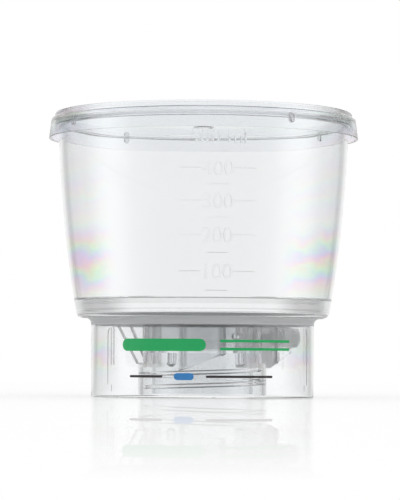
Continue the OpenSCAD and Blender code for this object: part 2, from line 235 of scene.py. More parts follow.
class Spot:
    """Where a surface point lies on the object: its turn from the front, how far that is to a side
    from 0 to 1, and its radius and height in metres."""

    def __init__(self, g):
        self.g = g
        self.place = g.node("ShaderNodeTexCoord").outputs["Object"]
        axes = g.node("ShaderNodeSeparateXYZ", {0: self.place}).outputs
        self.x, self.y, self.z = axes["X"], axes["Y"], axes["Z"]
        self.turn = g.math("ARCTAN2", self.x, g.math("MULTIPLY", self.y, -1.0))
        self.sideways = g.math("ABSOLUTE", g.math("SINE", self.turn))
        squares = g.math("ADD", g.math("POWER", self.x, 2.0), g.math("POWER", self.y, 2.0))
        self.radius = g.math("SQRT", squares)

    def window(self, value, low, high, edge):
        """1 where the value lies between low and high, with soft edges."""
        rise = self.g.smooth(value, low - edge, low + edge)
        fall = self.g.smooth(value, high - edge, high + edge, 1.0, 0.0)
        return self.g.math("MULTIPLY", rise, fall)

    def noise(self, scale, detail=2.0):
        settings = {"Vector": self.place, "Scale": scale, "Detail": detail}
        return self.g.node("ShaderNodeTexNoise", settings).outputs["Fac"]

    def uneven(self, value, scale, spread):
        """The value, raised by a noise that at 1 adds the spread."""
        return self.g.math("ADD", value, self.g.math("MULTIPLY", self.noise(scale), spread))


CLEAR = (0.98, 0.987, 0.992)
POLISH = 0.012
SPECKLE = 0.03
TINT = 0.16
BAND_PITCH = 9.5 * MM
# Where red, green and blue stand in the bands, in radians
BAND_COLOURS = (0.0, 2.1, 4.2)
# Scale of a noise, and how many radians it shifts the bands
BAND_WANDER = ((190, 7.0), (30, 8.0))


def stress_colours(g, spot, share, clear=CLEAR):
    """Faint pink, green and blue bands, as moulding stress shows them in clear plastic. They
    depend on the place across and up alone, so that the front and the back wall agree."""
    flat = g.node("ShaderNodeCombineXYZ", {"X": spot.x, "Z": spot.z}).outputs[0]
    phase = g.math("MULTIPLY", spot.z, math.tau / BAND_PITCH)
    for scale, shift in BAND_WANDER:
        settings = {"Vector": flat, "Scale": scale, "Detail": 1.0}
        wander = g.node("ShaderNodeTexNoise", settings).outputs["Fac"]
        phase = g.math("ADD", phase, g.math("MULTIPLY", wander, shift))
    channels = []
    for step, base in zip(BAND_COLOURS, clear):
        wave = g.math("COSINE", g.math("ADD", phase, step))
        depth = g.math("MULTIPLY", g.math("ADD", wave, 1.0), g.math("MULTIPLY", share, TINT / 2))
        channels.append(g.math("SUBTRACT", base, depth))
    made = g.node("ShaderNodeCombineColor")
    for socket, channel in zip(made.inputs, channels):
        g.feed(socket, channel)
    return made.outputs[0]


def new_material(name):
    material = bpy.data.materials.new(name)
    material.use_nodes = True
    return material, Graph(material.node_tree)


MILK = (0.88, 0.89, 0.9, 1)
# Share of a milky surface that glows through, the rest being lit from its own side
MILK_THROUGH = 0.3
LID_TINT = (0.972, 0.984, 0.998)
MARK_COLOUR = (0.965, 0.97, 0.975, 1)
MARK_ROUGHNESS = 0.05


def finish_plastic(g, colour, roughness, relief=None, veil=None, milk=None):
    """Clear polystyrene. Where the veil is 1, light passes straight through, and where milk is 1,
    the surface scatters all of it."""
    shader = g.node("ShaderNodeBsdfPrincipled", {
        "Base Color": colour,
        "Roughness": roughness,
        "IOR": 1.59,
        "Transmission Weight": 1.0,
    })
    if relief:
        bump = g.node("ShaderNodeBump", {"Height": relief, "Strength": SPECKLE, "Distance": 0.2 * MM})
        g.feed(shader.inputs["Normal"], bump.outputs[0])
    seen = shader.outputs[0]
    if milk:
        back = g.node("ShaderNodeBsdfDiffuse", {"Color": MILK}).outputs[0]
        forth = g.node("ShaderNodeBsdfTranslucent", {"Color": MILK}).outputs[0]
        both = g.node("ShaderNodeMixShader", {0: MILK_THROUGH, 1: back, 2: forth}).outputs[0]
        seen = g.node("ShaderNodeMixShader", {0: milk, 1: seen, 2: both}).outputs[0]
    if veil:
        straight = g.node("ShaderNodeBsdfTransparent").outputs[0]
        seen = g.node("ShaderNodeMixShader", {0: veil, 1: seen, 2: straight}).outputs[0]
    g.feed(g.node("ShaderNodeOutputMaterial").inputs["Surface"], seen)


# The inside of the funnel's foot, from the seat to the ledge
LEDGE_LOW = 32.3 * MM
LEDGE_HIGH = 36.9 * MM
LEDGE_R = 48 * MM
LEDGE_VEIL = 0.8
# Stress colours: how far round the sides, and between which heights, each with its softness
FUNNEL_SIDES = (0.76, 1.1, 0.08)
FUNNEL_STRONG = (41 * MM, 62 * MM, 7 * MM)
FUNNEL_FAINT = (66 * MM, 90 * MM, 10 * MM)
FAINT_SHARE = 0.25


def funnel_plastic():
    """The funnel, with stress colours at its sides that are fainter higher up. The inside of its
    foot hardly bends light."""
    material, g = new_material("clear_funnel")
    spot = Spot(g)
    faint = g.math("MULTIPLY", spot.window(spot.z, *FUNNEL_FAINT), FAINT_SHARE)
    heights = g.math("ADD", spot.window(spot.z, *FUNNEL_STRONG), faint)
    share = g.math("MULTIPLY", spot.window(spot.sideways, *FUNNEL_SIDES), heights)
    roughness = spot.uneven(POLISH, scale=60, spread=0.012)
    ledge = g.math("MULTIPLY", spot.window(spot.z, LEDGE_LOW, LEDGE_HIGH, 0.1 * MM), LEDGE_VEIL)
    ledge = g.math("MULTIPLY", ledge, g.smooth(spot.radius, LEDGE_R, LEDGE_R + 0.1 * MM, 1.0, 0.0))
    finish_plastic(g, stress_colours(g, spot, share), roughness, veil=ledge)
    return material


STEP_MILK = 0.8


def step_plastic():
    """The shallow steps round the skirt's panels, dull from the mould."""
    material, g = new_material("panel_steps")
    spot = Spot(g)
    roughness = spot.uneven(POLISH, scale=200, spread=0.03)
    finish_plastic(g, (*CLEAR, 1), roughness, milk=STEP_MILK)
    return material


def mark_plastic():
    """The raised lines and figures, a little duller than the wall."""
    material, g = new_material("funnel_marks")
    spot = Spot(g)
    finish_plastic(g, MARK_COLOUR, spot.uneven(MARK_ROUGHNESS, scale=400, spread=0.04))
    return material


GUIDE_MILK = 0.35
LID_SIDES = (0.75, 0.97)
LID_STRESS = 0.5


def lid_plastic():
    """The lid, with faint stress colours at its sides and milky inner faces on its guide ribs."""
    material, g = new_material("clear_lid")
    spot = Spot(g)
    share = g.smooth(spot.sideways, *LID_SIDES, 0.0, LID_STRESS)
    wave = g.math("COSINE", g.math("MULTIPLY", g.math("SUBTRACT", spot.turn, GUIDE_TURN), GUIDES))
    edge = math.cos(GUIDES * GUIDE_HALF / GUIDE_IN_R)
    reach = spot.window(spot.radius, GUIDE_IN_R - 0.12 * MM, GUIDE_IN_R + 0.08 * MM, 0.02 * MM)
    guide = g.math("MULTIPLY", g.smooth(wave, edge - 0.001, edge), reach)
    below_rim = g.smooth(spot.z, FUNNEL_HIGH - 0.1 * MM, FUNNEL_HIGH, GUIDE_MILK, 0.0)
    guide = g.math("MULTIPLY", guide, below_rim)
    finish_plastic(g, stress_colours(g, spot, share, LID_TINT), POLISH, milk=guide)
    return material


PANEL_HALF = math.radians(62)
PANEL_LOW = 2.2 * MM
PANEL_HIGH = 26 * MM
PANEL_DULL = 0.02
SPECK_SCALE = 2200
SPECK_EDGES = (0.66, 0.72)
SPECK_SHADE = 0.25
SKIRT_R = 42.7 * MM
SKIRT_SIDES = (0.8, 0.95)
SKIRT_BANDS = (10 * MM, 22 * MM, 4 * MM)
SKIRT_STRESS = 0.6
PLATE_LOW = 27.4 * MM
PLATE_MILK = 0.68
PLATE_DULL = 0.12
NECK_IN_R = 20.5 * MM
NECK_OUT_R = 23.3 * MM
NECK_LOW = 17.6 * MM
NECK_MILK = 0.12
PORT_TURN = math.radians(129.5)
PORT_Z = 23.3 * MM
PORT_MILK = 0.75
# Painted shade: how much darker the tint of the port's tube and web is painted
PORT_PAINTED_SHADE = 0.12
PORT_DULL = 0.2
TUBE_R = 4.6 * MM
TUBE_SHARE = 0.7
WEB_HALF = 4.6 * MM
WEB_IN_R = 25.8 * MM
WEB_LOW = 10.5 * MM
WEB_HIGH = 27.9 * MM
WEB_VEIL = 0.4
RIB_TURNS = (math.radians(-126), math.radians(-96))
# Radius and height of the lower and the upper end of a rib's slanted edge
RIB_LOW = (25.4 * MM, 12.4 * MM)
RIB_HIGH = (33.1 * MM, 27.4 * MM)
RIB_EDGE_W = 0.9 * MM
RIB_HALF = 0.7 * MM
RIB_MILK = 0.3
# Painted shade: how much darker the tint of the rib edges is painted
RIB_PAINTED_SHADE = 0.4


def spoke(g, spot, turn):
    """Distances along and across a line that runs out from the axis at a turn from the front."""
    along = g.math("ADD", g.math("MULTIPLY", spot.x, math.sin(turn)),
                   g.math("MULTIPLY", spot.y, -math.cos(turn)))
    across = g.math("ADD", g.math("MULTIPLY", spot.x, math.cos(turn)),
                    g.math("MULTIPLY", spot.y, math.sin(turn)))
    return along, g.math("ABSOLUTE", across)


def port_masks(g, spot):
    """1 on the web inside the skirt, and another mask for the port's tube outside it."""
    along, across = spoke(g, spot, PORT_TURN)
    web = g.math("MULTIPLY", g.smooth(across, WEB_HALF, WEB_HALF + 0.6 * MM, 1.0, 0.0),
                 spot.window(along, WEB_IN_R, SKIRT_R - 1.7 * MM, 0.3 * MM))
    web = g.math("MULTIPLY", web, spot.window(spot.z, WEB_LOW, WEB_HIGH, 0.3 * MM))
    up = g.math("SUBTRACT", spot.z, PORT_Z)
    off = g.math("SQRT", g.math("ADD", g.math("POWER", across, 2.0), g.math("POWER", up, 2.0)))
    tube = g.math("MULTIPLY", g.smooth(off, TUBE_R, TUBE_R + 0.4 * MM, TUBE_SHARE, 0.0),
                  g.smooth(along, SKIRT_R + 0.5 * MM, SKIRT_R + MM))
    return web, tube


def rib_mask(g, spot, turn):
    """1 on the slanted edge of a stiffening rib and on the strips beside it."""
    along, across = spoke(g, spot, turn)
    run = RIB_HIGH[0] - RIB_LOW[0]
    rise = RIB_HIGH[1] - RIB_LOW[1]
    length = math.hypot(run, rise)
    off = g.math("SUBTRACT", g.math("MULTIPLY", g.math("SUBTRACT", along, RIB_LOW[0]), rise / length),
                 g.math("MULTIPLY", g.math("SUBTRACT", spot.z, RIB_LOW[1]), run / length))
    edge = g.math("MULTIPLY", g.smooth(off, -RIB_EDGE_W - 0.2 * MM, -RIB_EDGE_W),
                  g.smooth(across, RIB_HALF, RIB_HALF + 0.2 * MM, 1.0, 0.0))
    heights = spot.window(spot.z, RIB_LOW[1] - 0.4 * MM, PLATE_LOW - 0.3 * MM, 0.1 * MM)
    return g.math("MULTIPLY", edge, heights)


def panel_mask(g, spot):
    """1 on the outside of the front panel."""
    outside = g.smooth(spot.radius, SKIRT_R - 0.7 * MM, SKIRT_R - 0.5 * MM)
    front = g.smooth(g.math("ABSOLUTE", spot.turn), PANEL_HALF - 0.01, PANEL_HALF + 0.01, 1.0, 0.0)
    heights = spot.window(spot.z, PANEL_LOW, PANEL_HIGH, 0.4 * MM)
    return g.math("MULTIPLY", g.math("MULTIPLY", outside, front), heights)


def neck_mask(g, spot):
    """1 on the neck under the plate."""
    return g.math("MULTIPLY", spot.window(spot.radius, NECK_IN_R, NECK_OUT_R, 0.2 * MM),
                  spot.window(spot.z, NECK_LOW, PLATE_LOW, 0.3 * MM))


def skirt_stress(g, spot):
    """Share of the stress colours: some in the skirt's wall, towards its sides."""
    share = g.math("MULTIPLY", g.smooth(spot.sideways, *SKIRT_SIDES),
                   spot.window(spot.z, *SKIRT_BANDS))
    wall = g.smooth(spot.radius, SKIRT_R - 2.2 * MM, SKIRT_R - 1.7 * MM, 0.0, SKIRT_STRESS)
    return g.math("MULTIPLY", share, wall)


def base_plastic():
    """The base, with a finely speckled front panel, stress colours at the skirt's sides, milky
    port, web and rib edges whose tint is darkened by painted shade, and a dull plate and neck.
    Some light passes straight through the web."""
    material, g = new_material("clear_base")
    spot = Spot(g)
    panel = panel_mask(g, spot)
    specks = g.math("MULTIPLY", g.smooth(spot.noise(SPECK_SCALE, 1.0), *SPECK_EDGES), panel)
    web, tube = port_masks(g, spot)
    port = g.math("MULTIPLY", g.math("MAXIMUM", web, tube), spot.uneven(0.8, scale=300, spread=0.4))
    ribs = g.math("MAXIMUM", *(rib_mask(g, spot, turn) for turn in RIB_TURNS))
    plate = g.smooth(spot.z, PLATE_LOW - 0.2 * MM, PLATE_LOW)
    # Painted shade on the port, web and rib edges, and the darker specks of the panel's texture, both
    # taken off the tint
    shade = summed(g, 0.0, (port, PORT_PAINTED_SHADE), (specks, SPECK_SHADE), (ribs, RIB_PAINTED_SHADE))
    colours = stress_colours(g, spot, skirt_stress(g, spot))
    tinted = g.node("ShaderNodeSeparateColor", {0: colours}).outputs
    made = g.node("ShaderNodeCombineColor")
    for socket, channel in zip(made.inputs, tinted):
        g.feed(socket, g.math("SUBTRACT", channel, shade))
    roughness = summed(g, POLISH, (panel, PANEL_DULL), (port, PORT_DULL), (plate, PLATE_DULL))
    cloud = g.math("MAXIMUM", port, g.math("MULTIPLY", ribs, RIB_MILK))
    cloud = g.math("MULTIPLY", cloud, PORT_MILK)
    cloud = g.math("MAXIMUM", cloud, g.math("MULTIPLY", plate, PLATE_MILK))
    cloud = g.math("MAXIMUM", cloud, g.math("MULTIPLY", neck_mask(g, spot), NECK_MILK))
    veil = g.math("MULTIPLY", web, WEB_VEIL)
    finish_plastic(g, made.outputs[0], roughness, specks, veil, cloud)
    return material


def fibre(name, colour, grain, relief, shadow):
    """White fibre, matt and mottled down to the shadow's share of its colour."""
    material, g = new_material(name)
    spot = Spot(g)
    mottle = spot.noise(grain, 6.0)
    shade = g.node("ShaderNodeValToRGB", {0: mottle})
    for stop, level in zip(shade.color_ramp.elements, (shadow, 1.0)):
        stop.color = (colour[0] * level, colour[1] * level, colour[2] * level, 1)
    shade.color_ramp.elements[0].position = 0.35
    shade.color_ramp.elements[1].position = 0.65
    bump = g.node("ShaderNodeBump", {"Height": mottle, "Strength": relief, "Distance": 0.1 * MM})
    shader = g.node("ShaderNodeBsdfPrincipled", {
        "Base Color": shade.outputs[0],
        "Roughness": 0.85,
        "Normal": bump.outputs[0],
        "Sheen Weight": 0.2,
    })
    g.feed(g.node("ShaderNodeOutputMaterial").inputs["Surface"], shader.outputs[0])
    return material


def ink(name, colour):
    """Screen-printed ink: nearly opaque, with a slightly uneven coat."""
    material, g = new_material(name)
    spot = Spot(g)
    coat = spot.noise(900, 3.0)
    shade = g.node("ShaderNodeValToRGB", {0: coat})
    for stop, level in zip(shade.color_ramp.elements, (0.9, 1.06)):
        stop.color = (colour[0] * level, colour[1] * level, colour[2] * level, 1)
    shader = g.node("ShaderNodeBsdfPrincipled", {
        "Base Color": shade.outputs[0],
        "Roughness": g.math("ADD", 0.35, g.math("MULTIPLY", coat, 0.15)),
        "Alpha": 0.88,
    })
    g.feed(g.node("ShaderNodeOutputMaterial").inputs["Surface"], shader.outputs[0])
    return material


def dress(node, material):
    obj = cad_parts[node]
    obj.data.materials.clear()
    obj.data.materials.append(material)


# ---------------------------------------------------------------- shapes

UP = Vector((0, 0, 1))
SHARP = math.radians(28)
WELD = 1e-7
AIR = 0.02 * MM
NEAR = 0.05 * MM
PARALLEL = 0.98
LEAST_SPREAD = 0.04
FINE = 0.0015 * MM


def on_wall(turn, radius, height):
    """The point at a turn from the front, towards +X, on a circle round the axis."""
    return Vector((radius * math.sin(turn), -radius * math.cos(turn), height))


def place(name, mesh):
    piece = bpy.data.objects.new(name, mesh)
    bpy.context.scene.collection.objects.link(piece)
    return piece


def mesh_from(name, points, faces):
    mesh = bpy.data.meshes.new(name)
    mesh.from_pydata(points, [], faces)
    mesh.update()
    return mesh


def finished(obj):
    """The object's mesh with its modifiers or its text made real; the object itself goes."""
    graph = bpy.context.evaluated_depsgraph_get()
    mesh = bpy.data.meshes.new_from_object(obj.evaluated_get(graph))
    bpy.data.objects.remove(obj)
    return mesh


def welded(mesh, reach=WELD):
    """Joins the points that lie in one place, and turns the faces of the closed solid outwards."""
    shape = bmesh.new()
    shape.from_mesh(mesh)
    bmesh.ops.remove_doubles(shape, verts=shape.verts, dist=reach)
    bmesh.ops.recalc_face_normals(shape, faces=shape.faces)
    shape.to_mesh(mesh)
    shape.free()
    return mesh


def cad_mesh(node):
    """A node's surface as a closed mesh of its own."""
    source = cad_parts[node].data
    points = [vertex.co.copy() for vertex in source.vertices]
    faces = [tuple(face.vertices) for face in source.polygons]
    return welded(mesh_from(node, points, faces))


def joined(name, mesh, extras, cuts=()):
    """One solid made of a mesh, the extra solids that grow out of it and those cut from it."""
    body = place(name, mesh)
    steps = [("UNION", extra) for extra in extras] + [("DIFFERENCE", cut) for cut in cuts]
    for operation, solid in steps:
        tool = place("tool", solid)
        change = body.modifiers.new("change", "BOOLEAN")
        change.operation = operation
        change.solver = "MANIFOLD"
        change.object = tool
        made = finished(body)
        bpy.data.objects.remove(tool)
        body = place(name, made)
    return body


def smooth_faces(mesh, source=None):
    """Rounds the shading. Faces that came from the source mesh keep that mesh's true normals."""
    mesh.shade_smooth()
    mesh.set_sharp_from_angle(angle=SHARP)
    if not source:
        return
    corners = [corner.vector.copy() for corner in source.corner_normals]
    points = [vertex.co.copy() for vertex in source.vertices]
    tree = BVHTree.FromPolygons(points, [tuple(face.vertices) for face in source.polygons])
    normals = [corner.vector.copy() for corner in mesh.corner_normals]
    for face in mesh.polygons:
        _, _, index, distance = tree.find_nearest(face.center)
        found = source.polygons[index]
        if distance > NEAR or found.normal.dot(face.normal) < PARALLEL:
            continue
        outline = [points[vertex] for vertex in found.vertices]
        for loop in face.loop_indices:
            point = mesh.vertices[mesh.loops[loop].vertex_index].co
            weights = poly_3d_calc(outline, point)
            normal = Vector((0, 0, 0))
            for weight, corner in zip(weights, found.loop_indices):
                normal += weight * corners[corner]
            normals[loop] = normal.normalized()
    mesh.normals_split_custom_set(normals)


def unit(vectors):
    return vectors / np.maximum(np.linalg.norm(vectors, axis=-1, keepdims=True), 1e-12)


def dots(a, b):
    return np.sum(a * b, axis=-1, keepdims=True)


def bulge(way, normal, rise, twin):
    """How far the middle of each side stands off its chord, so that it lies on both faces' curves."""
    flat = unit(normal - dots(normal, way) * way)
    other = flat[twin]
    near = dots(rise, flat)
    far = near[twin]
    lean = dots(flat, other)
    both = unit(flat + other) * (near + far) / 2
    spread = np.maximum(1 - lean * lean, LEAST_SPREAD)
    crossed = flat * (near - lean * far) / spread + other * (far - lean * near) / spread
    return np.where(np.abs(lean) > PARALLEL, both, crossed)


def round_off(points, faces, normals, reach):
    """Splits each side whose arc stands more than reach off its chord, and puts the new point on
    the arc. A side's arc follows from the normals at its ends. Returns the finer mesh."""
    starts = faces.ravel()
    ends = np.roll(faces, -1, axis=1).ravel()
    first = normals.reshape(-1, 3)
    last = np.roll(normals, -1, axis=1).reshape(-1, 3)
    half = (points[ends] - points[starts]) / 2
    rise = (dots(half, last) * last - dots(half, first) * first) / 4
    keys = np.minimum(starts, ends) * len(points) + np.maximum(starts, ends)
    order = np.argsort(keys, kind="stable")
    pairs = order.reshape(-1, 2)
    twin = np.empty(len(keys), dtype=int)
    twin[pairs[:, 0]] = pairs[:, 1]
    twin[pairs[:, 1]] = pairs[:, 0]
    off = bulge(unit(half), unit(first + last), rise, twin)
    off = (off + off[twin]) / 2
    split = np.linalg.norm(off, axis=1) > reach
    chosen = pairs[split[pairs[:, 0]]]
    added = points[starts[chosen[:, 0]]] + half[chosen[:, 0]] + off[chosen[:, 0]]
    middle = np.full(len(keys), -1)
    middle[chosen[:, 0]] = middle[chosen[:, 1]] = len(points) + np.arange(len(chosen))
    middle = middle.reshape(-1, 3)
    between = unit(first + last).reshape(-1, 3, 3)
    made = []
    shaded = []

    def keep(rows, corners, shades):
        made.append(np.stack(corners, axis=1)[rows])
        shaded.append(np.stack(shades, axis=1)[rows])

    count = np.sum(middle >= 0, axis=1)
    for k in range(3):
        a, b, c = (faces[:, (k + i) % 3] for i in range(3))
        ab, bc, ca = (middle[:, (k + i) % 3] for i in range(3))
        na, nb, nc = (normals[:, (k + i) % 3] for i in range(3))
        nab, nbc, nca = (between[:, (k + i) % 3] for i in range(3))
        if k == 0:
            keep(count == 0, (a, b, c), (na, nb, nc))
            keep(count == 3, (ab, bc, ca), (nab, nbc, nca))
        keep(count == 3, (a, ab, ca), (na, nab, nca))
        one = (count == 1) & (ab >= 0)
        keep(one, (a, ab, c), (na, nab, nc))
        keep(one, (ab, b, c), (nab, nb, nc))
        two = (count == 2) & (ca < 0)
        keep(two, (ab, b, bc), (nab, nb, nbc))
        keep(two, (a, ab, bc), (na, nab, nbc))
        keep(two, (a, bc, c), (na, nbc, nc))
    return np.concatenate((points, added)), np.concatenate(made), np.concatenate(shaded)


def fine_mesh(node, passes=2):
    """A node's mesh with its curves made finer, as clear plastic shows every facet."""
    mesh = cad_mesh(node)
    smooth_faces(mesh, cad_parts[node].data)
    mesh.calc_loop_triangles()
    points = np.array([vertex.co for vertex in mesh.vertices], dtype=float)
    corner = np.array([entry.vector for entry in mesh.corner_normals], dtype=float)
    faces = np.array([triangle.vertices for triangle in mesh.loop_triangles])
    normals = corner[np.array([triangle.loops for triangle in mesh.loop_triangles])]
    for _ in range(passes):
        points, faces, normals = round_off(points, faces, normals, FINE)
    fine = mesh_from(node, points.tolist(), faces.tolist())
    fine.shade_smooth()
    fine.normals_split_custom_set(normals.reshape(-1, 3).tolist())
    return fine


SPIN = 300
EDGE = 0.25 * MM
# Most of a side that the rounding at one of its ends may take
CORNER_SHARE = 0.45
CREASE = math.radians(32)
BEND_STEP = math.radians(15)
OUTLINE_REACH = 0.004 * MM


def section(node, turn=math.radians(171)):
    """Half of a node's section through the axis, as points of radius and height in order."""
    shape = bmesh.new()
    shape.from_mesh(fine_mesh(node))
    outward = on_wall(turn, 1, 0)
    aside = on_wall(turn + math.pi / 2, 1, 0)
    for normal, clear in ((outward, True), (aside, False)):
        geometry = shape.verts[:] + shape.edges[:] + shape.faces[:]
        cut = bmesh.ops.bisect_plane(
            shape, geom=geometry, plane_co=(0, 0, 0), plane_no=normal, clear_inner=clear)
    edges = [part for part in cut["geom_cut"] if isinstance(part, bmesh.types.BMEdge)]
    beside = {}
    for edge in edges:
        for vertex in edge.verts:
            beside.setdefault(vertex, []).append(edge.other_vert(vertex))
    ends = [vertex for vertex in beside if len(beside[vertex]) == 1]
    start = min(ends or beside, key=lambda vertex: vertex.co.z)
    chain = [start]
    before = None
    while True:
        onward = [vertex for vertex in beside[chain[-1]] if vertex is not before]
        before = chain[-1]
        if not onward or onward[0] is start:
            break
        chain.append(onward[0])
    outline = [Vector((max(0.0, vertex.co.dot(outward)), vertex.co.z)) for vertex in chain]
    shape.free()
    if not ends:
        outline.append(outline[0])
    outline = thinned(outline, OUTLINE_REACH)
    if not ends:
        outline.pop()
    area = sum(a.cross(b) for a, b in zip(outline, outline[1:] + outline[:1]))
    return outline if area > 0 else outline[::-1]


def thinned(outline, reach):
    """The outline without the points that lie within reach of a straight line."""
    first, last = outline[0], outline[-1]
    along = last - first
    widest = 0.0
    for i, point in enumerate(outline[1:-1], 1):
        off = point - first
        if along.length > reach:
            off = off - along * (off.dot(along) / along.length_squared)
        if off.length > widest:
            widest = off.length
            middle = i
    if widest <= reach:
        return [first, last]
    return thinned(outline[:middle + 1], reach)[:-1] + thinned(outline[middle:], reach)


def eased(outline):
    """The outline with its crisp corners rounded a little and its curves made smooth, and the
    direction that each of its points faces."""
    closed = outline[0].x > WELD
    made = []
    for i, point in enumerate(outline):
        back = outline[i - 1] - point
        onward = outline[(i + 1) % len(outline)] - point
        if not closed and i in (0, len(outline) - 1):
            along = onward if i == 0 else -back
            made.append((point, along))
            continue
        bend = math.pi - back.angle(onward)
        reach = CORNER_SHARE * min(back.length, onward.length)
        if bend > CREASE:
            reach = min(reach, EDGE * math.tan(bend / 2))
        start = point + back.normalized() * reach
        end = point + onward.normalized() * reach
        steps = max(1, math.ceil(bend / BEND_STEP))
        for k in range(steps + 1):
            share = k / steps
            spot = start.lerp(point, share).lerp(point.lerp(end, share), share)
            made.append((spot, (point - start).lerp(end - point, share)))
    spots = [spot for spot, _ in made]
    faced = [Vector((along.y, -along.x)).normalized() for _, along in made]
    return spots, faced


def turned(name, outline, faced, spin=SPIN):
    """The closed mesh that an outline sweeps round the axis, shaded by the outline's directions."""
    points = []
    normals = []
    rings = []
    for spot, face in zip(outline, faced):
        count = 1 if spot.x < WELD else spin
        rings.append([len(points) + k % count for k in range(spin)])
        for k in range(count):
            turn = math.tau * k / spin
            points.append(on_wall(turn, spot.x, spot.y))
            normals.append(on_wall(turn, face.x if count > 1 else 0, face.y))
    following = rings[1:]
    if outline[0].x > WELD:
        following.append(rings[0])
    faces = []
    for low, high in zip(rings, following):
        for k in range(spin):
            after = (k + 1) % spin
            faces.append(tuple(dict.fromkeys((low[k], low[after], high[after], high[k]))))
    mesh = mesh_from(name, points, faces)
    mesh.shade_smooth()
    mesh.normals_split_custom_set_from_vertices(normals)
    return mesh


def swept(name, rings):
    """A closed solid through rings of as many points each, with flat ends."""
    count = len(rings[0])
    points = [point for ring in rings for point in ring]
    faces = []
    for i in range(len(rings) - 1):
        for k in range(count):
            a = i * count + k
            b = i * count + (k + 1) % count
            faces.append((a, b, b + count, a + count))
    last = len(points) - count
    faces.append(tuple(range(count)))
    faces.append(tuple(last + k for k in reversed(range(count))))
    return welded(mesh_from(name, points, faces))


def settle(piece, material, node=None):
    """Puts the finished piece on the body, with its finish and the node that it stands for."""
    piece.data.materials.clear()
    piece.data.materials.append(material)
    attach(piece, "root")
    if node:
        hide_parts(node)


# ---------------------------------------------------------------- funnel with its scale

FUNNEL_FOOT_R = 48.45 * MM
FUNNEL_TOP_R = 55.95 * MM
FUNNEL_BOW = 1.3 * MM
FUNNEL_WALL = 1.7 * MM
FUNNEL_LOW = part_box("funnel")[0][2]
FUNNEL_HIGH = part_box("funnel")[1][2]
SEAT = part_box("membrane")[0][2]
MEMBRANE_R = 44.45 * MM
NUMBERS = (100, 200, 300, 400, 500)
NUMBER_SIZE = 7.9 * MM
NUMBER_BEVEL = 0.16 * MM
NUMBER_SINK = 0.1 * MM
SCALE_SHARE = 0.955
MARK_STEP = 50
MARK_LENGTH = 8 * MM
MARK_SPACE = 12 * MM
MARK_SPACE_TOP = 20 * MM
# Outline of a mark's section: height from its middle and distance from the wall
MARK_SECTION = [(up * MM, out * MM) for up, out in (
    (-0.25, -0.5), (-0.25, 0.1), (-0.19, 0.2), (-0.09, 0.25),
    (0.09, 0.25), (0.19, 0.2), (0.25, 0.1), (0.25, -0.5),
)]
SCALE_LOW = 36 * MM
SCALE_HIGH = 98 * MM


def wall_radius(height):
    share = (height - FUNNEL_LOW) / (FUNNEL_HIGH - FUNNEL_LOW)
    bow = 4 * FUNNEL_BOW * share * (1 - share)
    return FUNNEL_FOOT_R + (FUNNEL_TOP_R - FUNNEL_FOOT_R) * share + bow


def mark_height(volume_ml, slice_height=0.1 * MM):
    """Height of the mark for a volume."""
    height = SEAT
    held = 0.0
    while held < volume_ml * ML:
        held += SCALE_SHARE * math.pi * (wall_radius(height) - FUNNEL_WALL) ** 2 * slice_height
        height += slice_height
    return height


def number_solid(text, height):
    """Raised figures with rounded strokes, bent round the wall."""
    curve = bpy.data.curves.new("number", "FONT")
    curve.body = text
    curve.size = NUMBER_SIZE
    curve.align_x = "CENTER"
    curve.align_y = "CENTER"
    curve.bevel_depth = NUMBER_BEVEL
    curve.bevel_resolution = 2
    curve.extrude = NUMBER_SINK
    curve.offset = -NUMBER_BEVEL
    mesh = welded(finished(place("number", curve)), reach=1e-6)
    low = min(vertex.co.y for vertex in mesh.vertices)
    high = max(vertex.co.y for vertex in mesh.vertices)
    for vertex in mesh.vertices:
        along, up, out = vertex.co
        up -= (low + high) / 2
        radius = wall_radius(height + up)
        vertex.co = on_wall(along / radius, radius + out, height + up)
    return mesh


def mark_solid(height, turn, steps=24):
    """A raised line with rounded edges, bent round the wall."""
    half = MARK_LENGTH / 2 / wall_radius(height)
    rings = []
    for i in range(steps + 1):
        ring = []
        for up, out in MARK_SECTION:
            radius = wall_radius(height + up) + out
            ring.append(on_wall(turn + half * (2 * i / steps - 1), radius, height + up))
        rings.append(ring)
    return swept("mark", rings)


def scale_solids():
    """The marks, which stand either side of a number or alone in the middle, and the numbers."""
    solids = []
    for volume in range(MARK_STEP, NUMBERS[-1] + 1, MARK_STEP):
        height = mark_height(volume)
        if volume not in NUMBERS:
            solids.append(mark_solid(height, 0))
            continue
        text = str(volume)
        space = MARK_SPACE
        if volume == NUMBERS[-1]:
            text += " ml"
            space = MARK_SPACE_TOP
        turn = (space + MARK_LENGTH) / 2 / wall_radius(height)
        solids.append(mark_solid(height, -turn))
        solids.append(mark_solid(height, turn))
        solids.append(number_solid(text, height))
    return solids


def make_funnel():
    outline = section("funnel")
    for point in outline:
        if abs(point.y - SEAT) < OUTLINE_REACH and point.x > MEMBRANE_R:
            point.y += AIR
        if abs(point.y - FUNNEL_HIGH) < OUTLINE_REACH:
            point.y -= AIR
    wall = turned("funnel", *eased(outline))
    funnel = joined("funnel_graduated", wall.copy(), scale_solids())
    smooth_faces(funnel.data, wall)
    settle(funnel, funnel_plastic(), "funnel")
    funnel.data.materials.append(mark_plastic())
    for face in funnel.data.polygons:
        centre = face.center
        if not SCALE_LOW < centre.z < SCALE_HIGH:
            continue
        if math.hypot(centre.x, centre.y) > wall_radius(centre.z) + AIR:
            face.material_index = 1


# ---------------------------------------------------------------- base with its thread

BORE_R = 22.9 * MM
THREAD_DEPTH = 1.0 * MM
THREAD_ROOT = 0.5 * MM
THREAD_FOOT = 1.7 * MM
THREAD_CREST = 0.7 * MM
THREAD_PITCH = 4.9 * MM
THREAD_FRONT = 4.6 * MM
THREAD_START = math.radians(-75)
THREAD_END = math.radians(425)
THREAD_TAPER = math.radians(24)
SKIRT_WALL = 1.3 * MM
FOOT_R = 0.3 * MM
STEP_REACH = 0.35 * MM
STEP_FACING = 0.6
STEP_SOFT = 0.92


